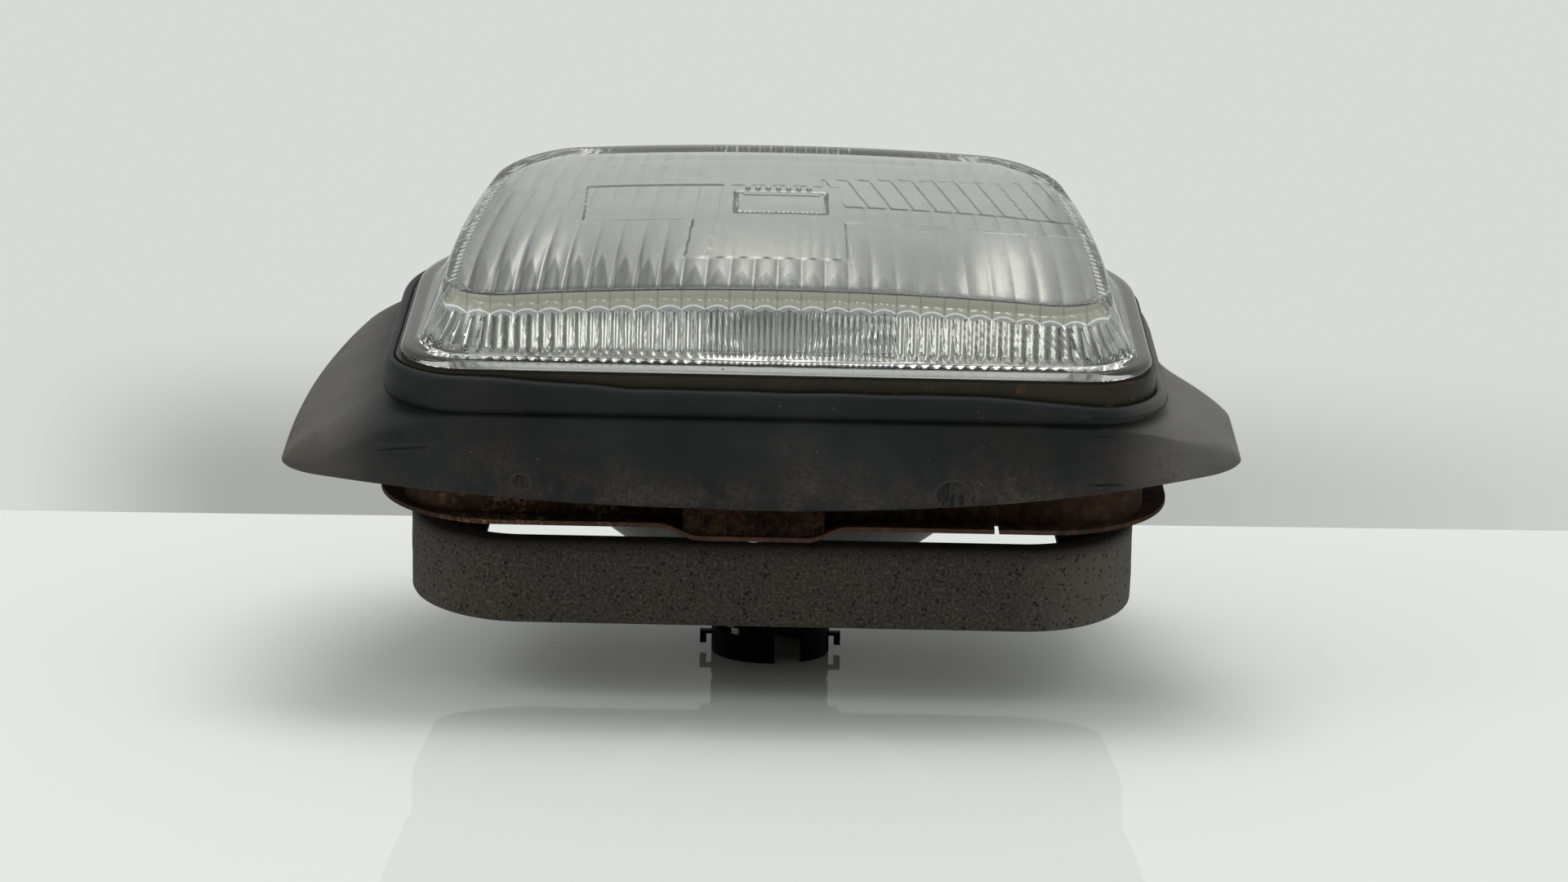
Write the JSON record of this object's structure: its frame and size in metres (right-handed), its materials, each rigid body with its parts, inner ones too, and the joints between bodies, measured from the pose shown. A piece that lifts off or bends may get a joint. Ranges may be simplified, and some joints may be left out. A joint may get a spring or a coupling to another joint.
{
  "type": "motorcycle headlight",
  "caption": "Rectangular motorcycle headlight: fluted glass lens, steel bowl, bayonet bulb collar, rubber surround and a rusty tilting frame with a sponge band.",
  "frame": {"origin": "middle of the bulb collar's open rim, on which the lamp stands", "axes": "+Z along the bulb's axis, out through the lens; +X to the right; -Y towards the side of the lens that is at the top on the motorcycle"},
  "size_m": [0.251, 0.1569, 0.1353],
  "materials": {
    "clear_glass": "pressed clear glass",
    "sealant": "dull butyl sealant",
    "rim_olive": "olive passivated steel, dulled",
    "bowl_steel": "bright inside, pale grey outside",
    "black_steel": "black paint, satin, worn",
    "gasket_board": "dull",
    "zinc_steel": "zinc plated",
    "nickel_cap": "nickel plated",
    "black_plastic": "matt",
    "contact_brass": "soldered brass",
    "bulb_glass": "clear",
    "support_wire": "bright wire",
    "filament_wire": "grey coiled wire",
    "ring_steel": "dulled zinc",
    "spring_steel": "spring wire",
    "pin_steel": "dulled zinc",
    "nylon": "natural nylon",
    "rusted_steel": "heavily rusted sheet",
    "sponge_rubber": "grainy sponge rubber",
    "surround_rubber": "aged moulded rubber"
  },
  "bodies": {
    "lamp": {"lens_glass": "clear_glass", "lens_sealant": "sealant", "lens_rim": "rim_olive", "reflector": "bowl_steel", "bulb_collar": "black_steel", "collar_gasket": "gasket_board", "collar_rivets": "zinc_steel", "bulb_cap": "nickel_cap", "bulb_insulator": "black_plastic", "bulb_contacts": "contact_brass", "bulb_glass": "bulb_glass", "bulb_supports": "support_wire", "main_filament": "filament_wire", "dip_filament": "filament_wire", "dip_shield": "support_wire", "ring_spring": "spring_steel", "pivot_ear_left": "zinc_steel", "pivot_ear_right": "zinc_steel", "pivot_pins": "pin_steel", "aim_lug": "zinc_steel", "aim_nut": "nylon", "rubber_surround": "surround_rubber"},
    "frame": {"steel_frame": "rusted_steel", "side_bracket_left": "rusted_steel", "side_bracket_right": "rusted_steel", "bracket_rivets": "rusted_steel", "cushion_band": "sponge_rubber", "pivot_washers": "zinc_steel"},
    "adjuster": {"aim_screw": "pin_steel", "aim_clip": "zinc_steel"},
    "retainer": {"retaining_ring": "ring_steel"}
  },
  "joints": [
    {"name": "aim_tilt", "type": "hinge", "parent": "lamp", "child": "frame", "pos_m": [0, -0.00446, 0.07593], "axis": [1, 0, 0], "range_deg": [-2, 2]},
    {"name": "aim_screw_turn", "type": "hinge", "parent": "frame", "child": "adjuster", "pos_m": [-0.005, -0.07124, 0.04917], "axis": [0, -0.0993, 0.9951], "range_deg": [-1260, 1260]},
    {"name": "ring_twist", "type": "hinge", "parent": "lamp", "child": "retainer", "pos_m": [0, 0, 0.009], "axis": [0, 0, 1], "range_deg": [-64, 0]}
  ],
  "couplings": [
    {"joint": "aim_screw_turn", "follows": "aim_tilt", "ratio": -620.24}
  ]
}
